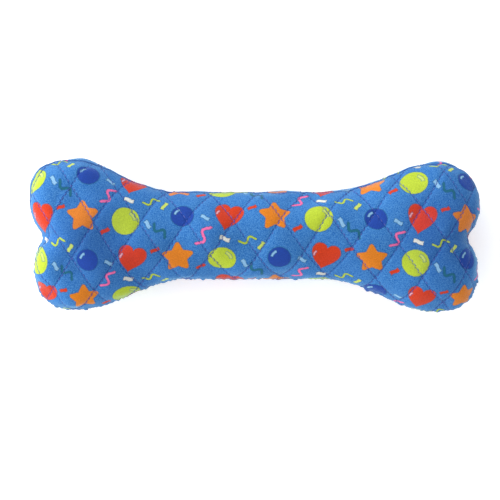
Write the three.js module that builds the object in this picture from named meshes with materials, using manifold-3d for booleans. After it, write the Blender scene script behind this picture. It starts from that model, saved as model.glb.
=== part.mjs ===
// A stuffed, quilted bone for a dog, with a squeaker in its shaft, lying flat on its back panel.
// Millimetres. +X runs along the bone, +Y across it and +Z up through its front panel.
// The origin is on the surface that the toy lies on, under the middle of the bone.

import * as THREE from "three";
import { ConvexHull } from "three/addons/math/ConvexHull.js";
import { mergeVertices } from "three/addons/utils/BufferGeometryUtils.js";
import Module from "manifold-3d";

const wasm = await Module();
wasm.setup();

// Driving dimensions of the sewn bone
const TOY_LENGTH = 304;
const SHAFT_WIDTH = 58.8;
const SHAFT_THICKNESS = 58;
const END_THICKNESS = 61;
const END_FULLNESS = 2.5; // exponent of an end's rounded section, 2 is an ellipse
const LOBE_RADIUS = 29.4;
const LOBE_SPREAD = 43.6; // between the centres of the two lobes of one end
const SHOULDER_LENGTH = 76; // over which the shaft widens into a pair of lobes
const LOBE_CORNER = 2; // by which a lobe is fuller at its outer corner than a circle
const NOTCH_RADIUS = 7; // rounds the valley between two lobes
const SEAM_ANGLE = THREE.MathUtils.degToRad(82); // round the section, from the middle of the front
const SEAM_LEAN = THREE.MathUtils.degToRad(5); // less on the upper side, and more on the lower side
const REST_FLAT_DEPTH = 0.5; // pressed flat where the toy lies on its back

// Driving dimensions of the layers
const COVER_THICKNESS = 1.2;
const WADDING_THICKNESS = 2.4;
const SEAM_THREAD_DIAMETER = 1.2;
const CLOSING_LENGTH = 64; // hand-sewn stretch of the seam
const SHAFT_FILLING_LENGTH = 188;
const CLEARANCE = 0.3; // between pieces that touch

// Driving dimensions of the front's quilting, measured along the cloth
const DIAMOND_LENGTH = 31.2; // along the bone
const DIAMOND_HEIGHT = 49; // across the bone
const CROSSING_X = -13.5; // where two rows of stitches cross
const CROSSING_Y = 9.8;
const QUILT_RISE = 0.105; // slope by which the rows climb, right of the middle
const RISING_DEPTH = 1; // to which the rising rows draw the cloth in
const FALLING_DEPTH = 0.65;
const SEAM_EASE = 14; // from the seam, over which the rows grow to their depth
const SEAM_BORDER = 6; // of plain cloth beside the seam
const QUILT_MARGIN = 10; // between the seam and the first corners of the quilting's facets

// Driving dimensions of the squeaker
const BLADDER_DIAMETER = 36;
const BLADDER_HEIGHT = 20;
const BLADDER_WALL = 1;
const BLADDER_EDGE_RADIUS = 7;
const BARREL_BORE = 9;
const BARREL_WALL = 1;
const BARREL_LENGTH = 9.5;
const FLANGE_WIDTH = 2.5;
const FLANGE_THICKNESS = 1;
const PLUG_RECESS = 1.5; // of the plug's top below the flange's
const GROOVE_WIDTH = 3;
const GROOVE_DEPTH = 1.8;
const REED_WIDTH = 5;
const REED_THICKNESS = 0.3;
const REED_LENGTH = 7.5;
const REED_CLAMP_HEIGHT = 2.5;

// Counts of facets
const SHAFT_STEPS = 2;
const SHOULDER_STEPS = 6;
const LOBE_STEPS = 8;
const NOTCH_STEPS = 2;
const DIAMOND_STEPS = 3;
const WALK_STEPS = 40;
const BACK_ROWS = 7;
const THREAD_SIDES = 6;
const LATHE_STEPS = 28;
const EDGE_STEPS = 4;

// Sizes that follow from the driving dimensions
const lobeX = TOY_LENGTH / 2 - LOBE_RADIUS;
const lobeY = LOBE_SPREAD / 2;
const endHalfWidth = lobeY + LOBE_RADIUS;
const shoulderX = lobeX - SHOULDER_LENGTH;
const middleZ = END_THICKNESS / 2 - REST_FLAT_DEPTH;
const waddingInset = COVER_THICKNESS + CLEARANCE;
const fillingInset = waddingInset + WADDING_THICKNESS + CLEARANCE;
const threadRadius = SEAM_THREAD_DIAMETER / 2;
const threadInset = COVER_THICKNESS + CLEARANCE + threadRadius;

const bladderRadius = BLADDER_DIAMETER / 2;
const bladderTop = middleZ + BLADDER_HEIGHT / 2;
const bladderBottom = middleZ - BLADDER_HEIGHT / 2;
const boreRadius = BARREL_BORE / 2;
const barrelRadius = boreRadius + BARREL_WALL;
const flangeRadius = barrelRadius + FLANGE_WIDTH;
const flangeBottom = bladderTop + CLEARANCE;
const flangeTop = flangeBottom + FLANGE_THICKNESS;
const barrelBottom = flangeBottom - BARREL_LENGTH;
const reedGap = REED_THICKNESS / 2 + CLEARANCE;

// Plan outline of the bone

// A station of the outline holds an edge point, the spine point that its ray starts from, and how far
// the section has changed from the shaft's (0) to an end's (1).
function sideStation(x) {
  const t = THREE.MathUtils.clamp((x - shoulderX) / SHOULDER_LENGTH, 0, 1);
  const blend = (1 - Math.cos(Math.PI * t)) / 2;
  const y = THREE.MathUtils.lerp(SHAFT_WIDTH / 2, endHalfWidth, blend);
  return { x, y, spineX: x, blend };
}

function endStation(centreX, centreY, radius, angle) {
  const x = centreX + radius * Math.cos(angle);
  const y = centreY + radius * Math.sin(angle);
  return { x, y, spineX: lobeX, blend: 1 };
}

// A lobe's radius at an angle round its centre, fullest half way from the end (0) to the side
function lobeRadius(angle) {
  return LOBE_RADIUS + LOBE_CORNER * Math.sin(2 * Math.max(angle, 0)) ** 2;
}

// The quarter with x and y positive runs from the middle of the shaft, over the shoulder and round
// the lobe, to the bottom of the notch.
function quarterOutline() {
  const stations = [];
  for (let i = 0; i < SHAFT_STEPS; i += 1) {
    stations.push(sideStation((shoulderX * i) / SHAFT_STEPS));
  }
  for (let i = 0; i < SHOULDER_STEPS; i += 1) {
    stations.push(sideStation(shoulderX + (SHOULDER_LENGTH * i) / SHOULDER_STEPS));
  }
  const notchReach = Math.sqrt((LOBE_RADIUS + NOTCH_RADIUS) ** 2 - lobeY ** 2);
  const notchAngle = Math.atan2(lobeY, notchReach);
  for (let i = 0; i < LOBE_STEPS; i += 1) {
    const angle = THREE.MathUtils.lerp(Math.PI / 2, -notchAngle, i / LOBE_STEPS);
    stations.push(endStation(lobeX, lobeY, lobeRadius(angle), angle));
  }
  for (let i = 0; i <= NOTCH_STEPS; i += 1) {
    const angle = THREE.MathUtils.lerp(Math.PI - notchAngle, Math.PI, i / NOTCH_STEPS);
    stations.push(endStation(lobeX + notchReach, 0, NOTCH_RADIUS, angle));
  }
  return stations;
}

function mirrored(station, signX, signY) {
  return { ...station, x: station.x * signX, y: station.y * signY, spineX: station.spineX * signX };
}

const quarter = quarterOutline();

// The whole outline, clockwise from above, from the middle of the upper side
function wholeOutline() {
  const back = quarter.slice(0, -1).reverse();
  return [
    ...quarter,
    ...back.map((station) => mirrored(station, 1, -1)),
    ...quarter.slice(1).map((station) => mirrored(station, -1, -1)),
    ...back.slice(0, -1).map((station) => mirrored(station, -1, 1)),
  ];
}

const outline = wholeOutline();

// Surface of the stuffed bone

function halfThickness(station) {
  return THREE.MathUtils.lerp(SHAFT_THICKNESS, END_THICKNESS, station.blend) / 2;
}

// The level ray from a station's spine point to its edge: its length, and its direction along and across
function levelRay(station) {
  const dx = station.x - station.spineX;
  const reach = Math.hypot(dx, station.y);
  return { reach, along: dx / reach, across: station.y / reach };
}

// A point of the form: turn goes round the section from the middle of the front (0) to the middle of
// the back (pi), and inset is its depth below the outer face.
function formPoint(station, inset, turn) {
  const { reach, along, across } = levelRay(station);
  const fullness = THREE.MathUtils.lerp(2, END_FULLNESS, station.blend * across ** 2);
  const share = Math.sin(turn);
  const rise = Math.sqrt(Math.max(0, 1 - share ** fullness)) * Math.sign(Math.cos(turn));
  const length = (reach - inset) * share;
  return new THREE.Vector3(
    station.spineX + along * length,
    across * length,
    middleZ + (halfThickness(station) - inset) * rise,
  );
}

// The turn that lies a distance past the seam towards the back, measured along the outer face
function seamTurn(station, distance) {
  return SEAM_ANGLE - SEAM_LEAN * levelRay(station).across + distance / halfThickness(station);
}

// Joins rows of points, one row for each station, into triangles. Each row closes on itself where closed is
// true, and the last row joins the first where looped is true.
function rowTriangles(rows, closed, looped) {
  const positions = [];
  const triangles = [];
  const width = rows[0].length;
  rows.forEach((row) => row.forEach((point) => positions.push(point.x, point.y, point.z)));
  const lastRow = looped ? rows.length : rows.length - 1;
  const lastPoint = closed ? width : width - 1;
  for (let j = 0; j < lastRow; j += 1) {
    const next = (j + 1) % rows.length;
    for (let i = 0; i < lastPoint; i += 1) {
      const above = (i + 1) % width;
      const corners = [j * width + i, next * width + i, next * width + above, j * width + above];
      triangles.push([corners[0], corners[1], corners[2]]);
      triangles.push([corners[0], corners[2], corners[3]]);
    }
  }
  return { positions, triangles };
}

// Welds equal points and drops the triangles that close up where rays share a spine point
function weldedGeometry({ positions, triangles }) {
  const loose = new THREE.BufferGeometry();
  loose.setAttribute("position", new THREE.Float32BufferAttribute(positions, 3));
  loose.setIndex(triangles.flat());
  const welded = mergeVertices(loose);
  const kept = [];
  const index = welded.index.array;
  for (let i = 0; i < index.length; i += 3) {
    const [a, b, c] = index.slice(i, i + 3);
    if (a !== b && b !== c && c !== a) {
      kept.push(a, b, c);
    }
  }
  welded.setIndex(kept);
  return welded;
}

// Quilted front panel

// The station whose ray passes over a place in the cloth. Rays leave the spine squarely, and fan out from
// its ends.
function stationThrough(a, b) {
  const signX = a < 0 ? -1 : 1;
  const signY = b < 0 ? -1 : 1;
  const past = Math.abs(a) - lobeX;
  if (past <= 0) {
    return mirrored(sideStation(Math.abs(a)), signX, signY);
  }
  const angle = Math.atan2(Math.abs(b), past);
  const fan = quarter.filter((station) => station.spineX === lobeX);
  const before = fan.findLastIndex((station) => Math.atan2(station.y, station.x - lobeX) > angle);
  const [from, to] = fan.slice(THREE.MathUtils.clamp(before, 0, fan.length - 2));
  const dx = to.x - from.x;
  const dy = to.y - from.y;
  const reach = ((from.x - lobeX) * dy - from.y * dx) / (Math.cos(angle) * dy - Math.sin(angle) * dx);
  return mirrored(endStation(lobeX, 0, reach, angle), signX, signY);
}

// Lengths walked over the form along a ray, after even turns from the middle of the front to the seam
function rayWalk(station) {
  const lengths = [0];
  let last = formPoint(station, 0, 0);
  for (let i = 1; i <= WALK_STEPS; i += 1) {
    const point = formPoint(station, 0, (seamTurn(station, 0) * i) / WALK_STEPS);
    lengths.push(lengths[i - 1] + point.distanceTo(last));
    last = point;
  }
  return lengths;
}

// A place in the cloth at a distance along a ray: where it lies along (a) and across (b) the cloth, its
// turn round the section, and the way left from it to the seam
function rayPlace(station, distance) {
  const { along, across } = levelRay(station);
  const lengths = rayWalk(station);
  const step = lengths.findIndex((length, i) => length > distance || i === WALK_STEPS);
  const share = (distance - lengths[step - 1]) / (lengths[step] - lengths[step - 1]);
  return {
    a: station.spineX + along * distance,
    b: across * distance,
    station,
    turn: (seamTurn(station, 0) * (step - 1 + share)) / WALK_STEPS,
    left: lengths[WALK_STEPS] - distance,
    depth: 0,
  };
}

function clothPlace(a, b) {
  const station = stationThrough(a, b);
  return rayPlace(station, Math.hypot(a - station.spineX, b));
}

// The place of each station at a distance short of the seam
function borderPlaces(margin) {
  return outline.map((station) => rayPlace(station, rayWalk(station)[WALK_STEPS] - margin));
}

// Corners of the quilting's facets, with the depth to which the rows of stitches draw the cloth in there.
// A row of stitches runs through each corner whose count across that kind of row is a whole diamond.
function quiltPlaces() {
  const places = [];
  const most = Math.ceil((TOY_LENGTH / DIAMOND_LENGTH + endHalfWidth / DIAMOND_HEIGHT) * DIAMOND_STEPS);
  for (let rising = -most; rising <= most; rising += 1) {
    for (let falling = -most; falling <= most; falling += 1) {
      const a = CROSSING_X + (DIAMOND_LENGTH * (falling + rising)) / (2 * DIAMOND_STEPS);
      const climb = QUILT_RISE * Math.max(a, 0);
      const b = CROSSING_Y + climb + (DIAMOND_HEIGHT * (falling - rising)) / (2 * DIAMOND_STEPS);
      const place = clothPlace(a, b);
      if (place.left > QUILT_MARGIN) {
        const risingDepth = rising % DIAMOND_STEPS === 0 ? RISING_DEPTH : 0;
        const fallingDepth = falling % DIAMOND_STEPS === 0 ? FALLING_DEPTH : 0;
        const ease = THREE.MathUtils.smoothstep(place.left, 0, SEAM_EASE);
        places.push({ ...place, depth: (risingDepth + fallingDepth) * ease });
      }
    }
  }
  return places;
}

// Triangles between places in the cloth, with corners as wide as can be: the lower side of the hull of the
// places lifted on to a bowl. Those that bridge the waist or a notch are dropped.
function clothTriangles(places) {
  const bowl = places.map(({ a, b }) => new THREE.Vector3(a, b, a * a + b * b));
  const numbers = new Map(bowl.map((point, i) => [point, i]));
  const triangles = [];
  for (const face of new ConvexHull().setFromPoints(bowl).faces) {
    const corners = [face.edge.prev, face.edge.next, face.edge].map((edge) => numbers.get(edge.head().point));
    const a = corners.reduce((sum, corner) => sum + places[corner].a, 0) / 3;
    const b = corners.reduce((sum, corner) => sum + places[corner].b, 0) / 3;
    if (face.normal.z < 0 && clothPlace(a, b).left > SEAM_BORDER) {
      triangles.push(corners);
    }
  }
  return triangles;
}

// The front's places start with the border's, station by station. Its rim is added to each face by itself.
const frontPlaces = [...borderPlaces(SEAM_BORDER), ...quiltPlaces()];
const frontTriangles = clothTriangles(frontPlaces);
const frontCount = frontPlaces.length + outline.length;

// A face of the front panel at an inset, drawn in by the rows of stitches where quilted is 1, to a rim that
// lies a distance past the seam
function frontFace(inset, quilted, rimDistance) {
  const inside = frontPlaces.map(({ station, turn, depth }) =>
    formPoint(station, inset + depth * quilted, turn),
  );
  const rim = outline.map((station) => formPoint(station, inset, seamTurn(station, rimDistance)));
  const triangles = [...frontTriangles];
  for (let i = 0; i < outline.length; i += 1) {
    const next = (i + 1) % outline.length;
    triangles.push([i, next, next + frontPlaces.length]);
    triangles.push([i, next + frontPlaces.length, i + frontPlaces.length]);
  }
  return { positions: [...inside, ...rim].flatMap((point) => point.toArray()), triangles };
}

// A layer of the front panel between an outer face, which is quilted, and an inner one
function frontLayer(outerInset, innerInset, innerQuilted, rimDistance) {
  const outer = frontFace(outerInset, 1, rimDistance);
  const inner = frontFace(innerInset, innerQuilted, rimDistance);
  const triangles = [...outer.triangles];
  for (const [first, second, third] of inner.triangles) {
    triangles.push([third + frontCount, second + frontCount, first + frontCount]);
  }
  for (let i = 0; i < outline.length; i += 1) {
    const rim = i + frontPlaces.length;
    const next = ((i + 1) % outline.length) + frontPlaces.length;
    triangles.push([rim, next, next + frontCount]);
    triangles.push([rim, next + frontCount, rim + frontCount]);
  }
  return weldedGeometry({ positions: [...outer.positions, ...inner.positions], triangles });
}

// Plain back panel

// Turns from the middle of the back in even steps towards the seam. All layers share them, apart from the
// last one, which lies a distance past the seam.
function backTurns(station, rimDistance) {
  const seam = seamTurn(station, 0);
  const turns = [];
  for (let i = 0; i < BACK_ROWS; i += 1) {
    turns.push(THREE.MathUtils.lerp(Math.PI, seam, i / BACK_ROWS));
  }
  return [...turns, seamTurn(station, rimDistance)];
}

// A layer of the back panel, between two insets, to a rim that lies a distance past the seam
function backLayer(outerInset, innerInset, rimDistance) {
  const rings = outline.map((station) => {
    const turns = backTurns(station, rimDistance);
    const outer = turns.map((turn) => formPoint(station, outerInset, turn));
    const inner = turns.map((turn) => formPoint(station, innerInset, turn));
    return [...inner, ...outer.reverse()];
  });
  return weldedGeometry(rowTriangles(rings, false, true));
}

// The space inside both waddings, as one closed body
function fillingCore() {
  const front = frontFace(fillingInset, 0, 0);
  const rings = outline.map((station) => {
    const turns = backTurns(station, 0).reverse();
    return turns.map((turn) => formPoint(station, fillingInset, turn));
  });
  const back = rowTriangles(rings, false, true);
  const backTriangles = back.triangles.map((corners) => corners.map((corner) => corner + frontCount));
  return weldedGeometry({
    positions: [...front.positions, ...back.positions],
    triangles: [...front.triangles, ...backTriangles],
  });
}

// A thread that runs along the seam just inside the covers, past the given stations
function seamThread(stations) {
  const rings = stations.map((station) =>
    Array.from({ length: THREAD_SIDES }, (_, i) => {
      const angle = (2 * Math.PI * i) / THREAD_SIDES;
      const turn = seamTurn(station, threadRadius * Math.sin(angle));
      return formPoint(station, threadInset - threadRadius * Math.cos(angle), turn);
    }),
  );
  const tube = rowTriangles(rings, true, false);
  const last = (rings.length - 1) * THREAD_SIDES;
  for (let i = 1; i < THREAD_SIDES - 1; i += 1) {
    tube.triangles.push([0, i, i + 1]);
    tube.triangles.push([last, last + i + 1, last + i]);
  }
  return weldedGeometry(tube);
}

// Boolean cuts

function solid(geometry) {
  const bare = geometry.clone();
  bare.deleteAttribute("normal");
  bare.deleteAttribute("uv");
  const welded = mergeVertices(bare);
  return new wasm.Manifold(
    new wasm.Mesh({
      numProp: 3,
      vertProperties: new Float32Array(welded.attributes.position.array),
      triVerts: new Uint32Array(welded.index.array),
    }),
  );
}

function geometryOf(manifold) {
  const mesh = manifold.getMesh();
  const geometry = new THREE.BufferGeometry();
  geometry.setAttribute("position", new THREE.Float32BufferAttribute(mesh.vertProperties, 3));
  geometry.setIndex(new THREE.Uint32BufferAttribute(mesh.triVerts, 1));
  return geometry;
}

// A block between two corners
function block(low, high) {
  const geometry = new THREE.BoxGeometry(high.x - low.x, high.y - low.y, high.z - low.z);
  const centre = low.clone().add(high).multiplyScalar(0.5);
  return geometry.translate(centre.x, centre.y, centre.z);
}

// A body turned about the vertical axis through the middle of the bone, from pairs of radius and height
function turned(profile) {
  const points = profile.map(([radius, z]) => new THREE.Vector2(radius, z));
  return new THREE.LatheGeometry(points, LATHE_STEPS).rotateX(Math.PI / 2);
}

// Covers, wadding and threads

const waddingInside = waddingInset + WADDING_THICKNESS;
const frontCover = frontLayer(0, COVER_THICKNESS, 1, -CLEARANCE / 2);
const frontWadding = frontLayer(waddingInset, waddingInside, 0, -threadRadius - CLEARANCE);
const backWadding = backLayer(waddingInset, waddingInside, threadRadius + CLEARANCE);

// The back cover is cut flat at the height of the surface that it lies on
function makeBackCover() {
  const whole = solid(backLayer(0, COVER_THICKNESS, CLEARANCE / 2));
  const below = block(
    new THREE.Vector3(-TOY_LENGTH, -endHalfWidth, -END_THICKNESS),
    new THREE.Vector3(TOY_LENGTH, endHalfWidth, 0),
  );
  return geometryOf(whole.subtract(solid(below)));
}

// The machine-sewn thread leaves out the stretch in the middle of the lower side that is closed by hand
function seamStation(x) {
  return mirrored(sideStation(Math.abs(x)), Math.sign(x), -1);
}

function makeSeamThread() {
  const gapHalf = CLOSING_LENGTH / 2 + CLEARANCE;
  const middle = outline.length / 2;
  const fromLower = [...outline.slice(middle), ...outline.slice(0, middle)];
  const sewn = fromLower.filter((station) => station.y > 0 || Math.abs(station.x) > gapHalf);
  return seamThread([seamStation(-gapHalf), ...sewn, seamStation(gapHalf)]);
}

function makeClosingThread() {
  const half = CLOSING_LENGTH / 2;
  const between = outline.filter((station) => station.y < 0 && Math.abs(station.x) < half);
  return seamThread([seamStation(half), ...between, seamStation(-half)]);
}

// Squeaker

// The bladder's outer profile, grown by a distance, from its bottom on the axis to a radius on its top
function bladderProfile(grown, topRadius) {
  const radius = bladderRadius + grown;
  const edge = BLADDER_EDGE_RADIUS + grown;
  const profile = [[0, bladderBottom - grown]];
  for (const [centreZ, start] of [
    [bladderBottom - grown + edge, -Math.PI / 2],
    [bladderTop + grown - edge, 0],
  ]) {
    for (let i = 0; i <= EDGE_STEPS; i += 1) {
      const angle = start + (Math.PI / 2) * (i / EDGE_STEPS);
      profile.push([radius - edge + edge * Math.cos(angle), centreZ + edge * Math.sin(angle)]);
    }
  }
  profile.push([topRadius, bladderTop + grown]);
  return profile;
}

// A hollow bulb, open at the neck that the whistle sits in
function makeBladder() {
  const neckRadius = barrelRadius + CLEARANCE;
  const outer = bladderProfile(0, neckRadius);
  const inner = bladderProfile(-BLADDER_WALL, neckRadius);
  return turned([...outer, ...inner.reverse()]);
}

// The space that the bladder and the whistle's flange take in the filling
function squeakerSpace() {
  const spaceRadius = flangeRadius + CLEARANCE;
  const spaceTop = flangeTop + CLEARANCE;
  const profile = bladderProfile(CLEARANCE, spaceRadius);
  return turned([...profile, [spaceRadius, spaceTop], [0, spaceTop]]);
}

function makeBarrel() {
  return turned([
    [boreRadius, barrelBottom],
    [barrelRadius, barrelBottom],
    [barrelRadius, flangeBottom],
    [flangeRadius, flangeBottom],
    [flangeRadius, flangeTop],
    [boreRadius, flangeTop],
    [boreRadius, barrelBottom],
  ]);
}

// A half-round bar in the bore, its flat facing the reed, on the side of x that sign gives
function halfRoundBar(sign, height) {
  const radius = boreRadius - CLEARANCE;
  const spread = Math.acos(reedGap / radius);
  const middle = sign > 0 ? 0 : Math.PI;
  const section = new THREE.Shape();
  section.absarc(0, 0, radius, middle - spread, middle + spread, false);
  section.closePath();
  const settings = { depth: height, bevelEnabled: false, curveSegments: LATHE_STEPS / 2 };
  return new THREE.ExtrudeGeometry(section, settings).translate(0, 0, barrelBottom);
}

// The plug's groove leads the air past the reed and out at the top
function makePlug() {
  const plugTop = flangeTop - PLUG_RECESS;
  const bar = solid(halfRoundBar(-1, plugTop - barrelBottom));
  const groove = block(
    new THREE.Vector3(-reedGap - GROOVE_DEPTH, -GROOVE_WIDTH / 2, barrelBottom + REED_CLAMP_HEIGHT),
    new THREE.Vector3(0, GROOVE_WIDTH / 2, flangeTop),
  );
  return geometryOf(bar.subtract(solid(groove)));
}

function makeReed() {
  return new THREE.BoxGeometry(REED_THICKNESS, REED_WIDTH, REED_LENGTH).translate(
    0,
    0,
    barrelBottom + REED_LENGTH / 2,
  );
}

// Filling

const core = solid(fillingCore());

// Half of the shaft's filling, in front of the squeaker (1) or behind it (-1)
function makeShaftFilling(sign) {
  const halfLength = (SHAFT_FILLING_LENGTH - CLEARANCE) / 2;
  const nearZ = middleZ + (sign * CLEARANCE) / 2;
  const farZ = middleZ + sign * END_THICKNESS;
  const half = block(
    new THREE.Vector3(-halfLength, -endHalfWidth, Math.min(nearZ, farZ)),
    new THREE.Vector3(halfLength, endHalfWidth, Math.max(nearZ, farZ)),
  );
  return geometryOf(core.intersect(solid(half)).subtract(solid(squeakerSpace())));
}

// The filling of one lobe, cut by the shaft's filling and by its neighbour
function makeLobeFilling(signX, signY) {
  const nearX = (SHAFT_FILLING_LENGTH + CLEARANCE) / 2;
  const nearY = CLEARANCE / 2;
  const spanX = [nearX * signX, TOY_LENGTH * signX].sort((a, b) => a - b);
  const spanY = [nearY * signY, endHalfWidth * signY].sort((a, b) => a - b);
  const quarter = block(
    new THREE.Vector3(spanX[0], spanY[0], -END_THICKNESS),
    new THREE.Vector3(spanX[1], spanY[1], 2 * END_THICKNESS),
  );
  return geometryOf(core.intersect(solid(quarter)));
}

// Assembly

const toy = new THREE.Group();

function addPiece(name, geometry, color, roughness) {
  geometry.computeVertexNormals();
  const material = new THREE.MeshStandardMaterial({ color, roughness, metalness: 0 });
  const mesh = new THREE.Mesh(geometry, material);
  mesh.name = name;
  toy.add(mesh);
}

addPiece("front_cover", frontCover, "#3f79bd", 0.95);
addPiece("back_cover", makeBackCover(), "#3a70b4", 0.95);
addPiece("front_wadding", frontWadding, "#f1efe8", 1);
addPiece("back_wadding", backWadding, "#f1efe8", 1);
addPiece("seam_thread", makeSeamThread(), "#26316f", 0.7);
addPiece("closing_thread", makeClosingThread(), "#3a62a8", 0.7);
addPiece("shaft_filling_front", makeShaftFilling(1), "#fbfaf6", 1);
addPiece("shaft_filling_back", makeShaftFilling(-1), "#fbfaf6", 1);
for (const [side, signX] of [["left", -1], ["right", 1]]) {
  for (const [level, signY] of [["upper", 1], ["lower", -1]]) {
    addPiece(`${side}_${level}_lobe_filling`, makeLobeFilling(signX, signY), "#fbfaf6", 1);
  }
}
addPiece("squeaker_bladder", makeBladder(), "#e9e6da", 0.45);
addPiece("whistle_barrel", makeBarrel(), "#f4f4f0", 0.35);
addPiece("whistle_plug", makePlug(), "#f4f4f0", 0.35);
addPiece("reed_clamp", halfRoundBar(1, REED_CLAMP_HEIGHT), "#f4f4f0", 0.35);
addPiece("reed", makeReed(), "#d9c27a", 0.25);

export default toy;
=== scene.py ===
import math

import bmesh
import bpy
import numpy as np
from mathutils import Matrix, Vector


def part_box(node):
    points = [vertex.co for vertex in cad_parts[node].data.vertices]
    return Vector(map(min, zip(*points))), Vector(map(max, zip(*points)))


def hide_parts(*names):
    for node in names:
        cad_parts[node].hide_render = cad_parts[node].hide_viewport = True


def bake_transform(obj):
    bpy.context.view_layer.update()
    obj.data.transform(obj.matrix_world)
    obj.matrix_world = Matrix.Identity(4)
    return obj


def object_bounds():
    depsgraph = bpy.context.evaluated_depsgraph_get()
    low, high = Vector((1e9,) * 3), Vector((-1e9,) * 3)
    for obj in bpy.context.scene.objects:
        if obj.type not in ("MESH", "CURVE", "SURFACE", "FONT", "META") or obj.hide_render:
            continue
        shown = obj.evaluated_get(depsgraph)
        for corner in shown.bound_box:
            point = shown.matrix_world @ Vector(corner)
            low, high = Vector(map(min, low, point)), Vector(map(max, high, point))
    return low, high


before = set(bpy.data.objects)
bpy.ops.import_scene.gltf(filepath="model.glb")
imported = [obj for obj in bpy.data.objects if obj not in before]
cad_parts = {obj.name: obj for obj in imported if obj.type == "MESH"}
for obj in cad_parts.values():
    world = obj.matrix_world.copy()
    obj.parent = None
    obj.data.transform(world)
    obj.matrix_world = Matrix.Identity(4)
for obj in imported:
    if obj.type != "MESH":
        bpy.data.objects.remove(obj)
cad_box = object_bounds()

# Shapes are worked out in millimetres, in the part's own frame, and go into the meshes in metres.
MM = 0.001

# Driving sizes of the stuffed form
TOY_LENGTH, TOY_WIDTH, TOY_HEIGHT = ((high - low) / MM for low, high in zip(*cad_box))
SHAFT_WIDTH = 58.8
SHAFT_THICKNESS = 58
REST_FLAT_DEPTH = 0.5
END_THICKNESS = TOY_HEIGHT + REST_FLAT_DEPTH
SHAFT_FULLNESS = 2
END_FULLNESS = 2.5
LOBE_RADIUS = 29.4
SHOULDER_LENGTH = 76
LOBE_CORNER = 2
NOTCH_RADIUS = 7
SEAM_ANGLE = math.radians(82)
SEAM_LEAN = math.radians(5)
LOBE_X = TOY_LENGTH / 2 - LOBE_RADIUS
LOBE_Y = TOY_WIDTH / 2 - LOBE_RADIUS
SHOULDER_X = LOBE_X - SHOULDER_LENGTH
NOTCH_REACH = math.sqrt((LOBE_RADIUS + NOTCH_RADIUS) ** 2 - LOBE_Y ** 2)
NOTCH_ANGLE = math.atan2(LOBE_Y, NOTCH_REACH)
MIDDLE_Z = END_THICKNESS / 2 - REST_FLAT_DEPTH

# Lobes as sewn: end, flank, drift along and across, and added fullness all round, at corner and at shoulder
SEWN_LOBES = (
    (-1, 1, 1.5, -0.1, 0.3, 1.0, -2.2),
    (-1, -1, 2.4, -0.7, -1.8, -0.7, 0.5),
    (1, 1, -0.7, -2.4, 0.5, -0.9, -1.9),
    (1, -1, -0.8, -1.0, -0.9, 0.2, 0.0),
)
DRIFT_START = 55

# Layers, as depths below the smooth form
COVER_INSIDE = 2.4
COVER_DEEPEST = 2.1
WADDING_DEPTHS = (2.6, 4.0)
FILLING_DEPTH = 4.4
SHAFT_FILLING_DEPTH = 4.8
SEAM_THREAD_DEPTH = 2.9

# Threads in the seam, and the gap in it that is closed by hand
SEAM_THREAD_RADIUS = 0.4
SEAM_THREAD_SWAY = 0.2
SEAM_STITCH = 3.2
CLOSING_LENGTH = 64

# Wadding, fillings and the hollow for the squeaker
WADDING_REACH = 0.94
SHAFT_FILLING_LENGTH = 188
FILLING_GAP = 0.3
TUFT_SIZE = 0.5
TUFT_WAVE = 16
TUFT_TURN = 20
HOLLOW_RADIUS = 19.2
HOLLOW_DEPTH = {1: 12.2, -1: 11.0}

# Squeaker bulb, with the ridge that its mould left
BULB_WALL = 1
BULB_CORNER = 7
BULB_NECK = 5.8
MOULD_RIDGE = 0.3
MOULD_RIDGE_WIDTH = 0.5

# Quilting: rows of stitches that cross in long diamonds, with what they do to the cloth
QUILT_REPEAT = (31.2, 49)
QUILT_SPACING = 1 / math.hypot(1 / QUILT_REPEAT[0], 1 / QUILT_REPEAT[1])
QUILT_CROSSING = {1: (-13.5, 9.8), -1: (4.0, -6.0)}
QUILT_RISE = {1: 0.105, -1: 0.0}
QUILT_RUN = math.hypot(*QUILT_REPEAT)
QUILT_ROWS = 9
ROW_REACH = 2.2
RISING_DEPTH = 1.0
FALLING_DEPTH = 0.65
CREASE_WIDTH = 2.8
CREASE_ROUNDING = 0.5
ROW_END_SHARE = 0.3
# Painted shade in the creases, and painted shadow as long dark dashes at the needle holes
CREASE_SHADE = 0.13
CREASE_SHADE_WIDTH = 1.0
TUCK_SHARE = 0.25
TUCK_WIDTH = 0.9
HOLE_LENGTH = 2.8
HOLE_WIDTH = 1.0
RISING_HOLE_SHADE = 0.72
FALLING_HOLE_SHADE = 0.6
# Painted highlight on paler ridges beside the needle holes
RIDGE_OFFSET = 1.35
RIDGE_WIDTH = 1.3
RIDGE_HIGHLIGHT_SHARE = 0.12

# Quilting stitches; how far they rise, dip and sink is in shares of the thread's radius
STITCH_PITCH = 3.7
STITCH_LENGTH = 2.6
STITCH_STRETCH = (0.85, 1.15)
STITCH_OFFSET = 0.3
STITCH_WOBBLE = 0.1
STITCH_MARGIN = 2.0
STITCH_RINGS = (-1, -0.85, -0.4, 0.4, 0.85, 1)
STITCH_RISE = 0.8
STITCH_DIP = 1.3
RISING_THREAD_RADIUS = 0.26
FALLING_THREAD_RADIUS = 0.24
SINK_MEAN = 0.1
SINK_SWING = 0.4
SINK_MOST = 0.9
SINK_WAVE = 38

# Seam: the cloth rolls in to it, gathered, and puckered by its stitches, less so on the upper flank
SEAM_ROLL_WIDTH = 2.0
SEAM_ROLL_DEPTH = 0.8
SEAM_EASE = 14
# Painted shade along the seam, where the cloth turns under
SEAM_SHADE = 0.75
SEAM_SHADE_WIDTH = 1.8
PUCKER_SIZE = 0.62
PUCKER_WAVE = 6.2
PUCKER_REACH = 9
PUCKER_CALM = 0.55
PUCKER_SINK = 0.3
CALM_FLANKS = (-0.2, 0.6)
GATHER_SIZE = 0.16
GATHER_WAVE = 10
GATHER_REACH = 22

# Pinches beside the seam: place along, flank, way from the seam, and depth
PINCHES = ((85, -1, 3.5, 1.3), (122, 1, 0.0, 1.3))
PINCH_WIDTH = 2.4

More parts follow.
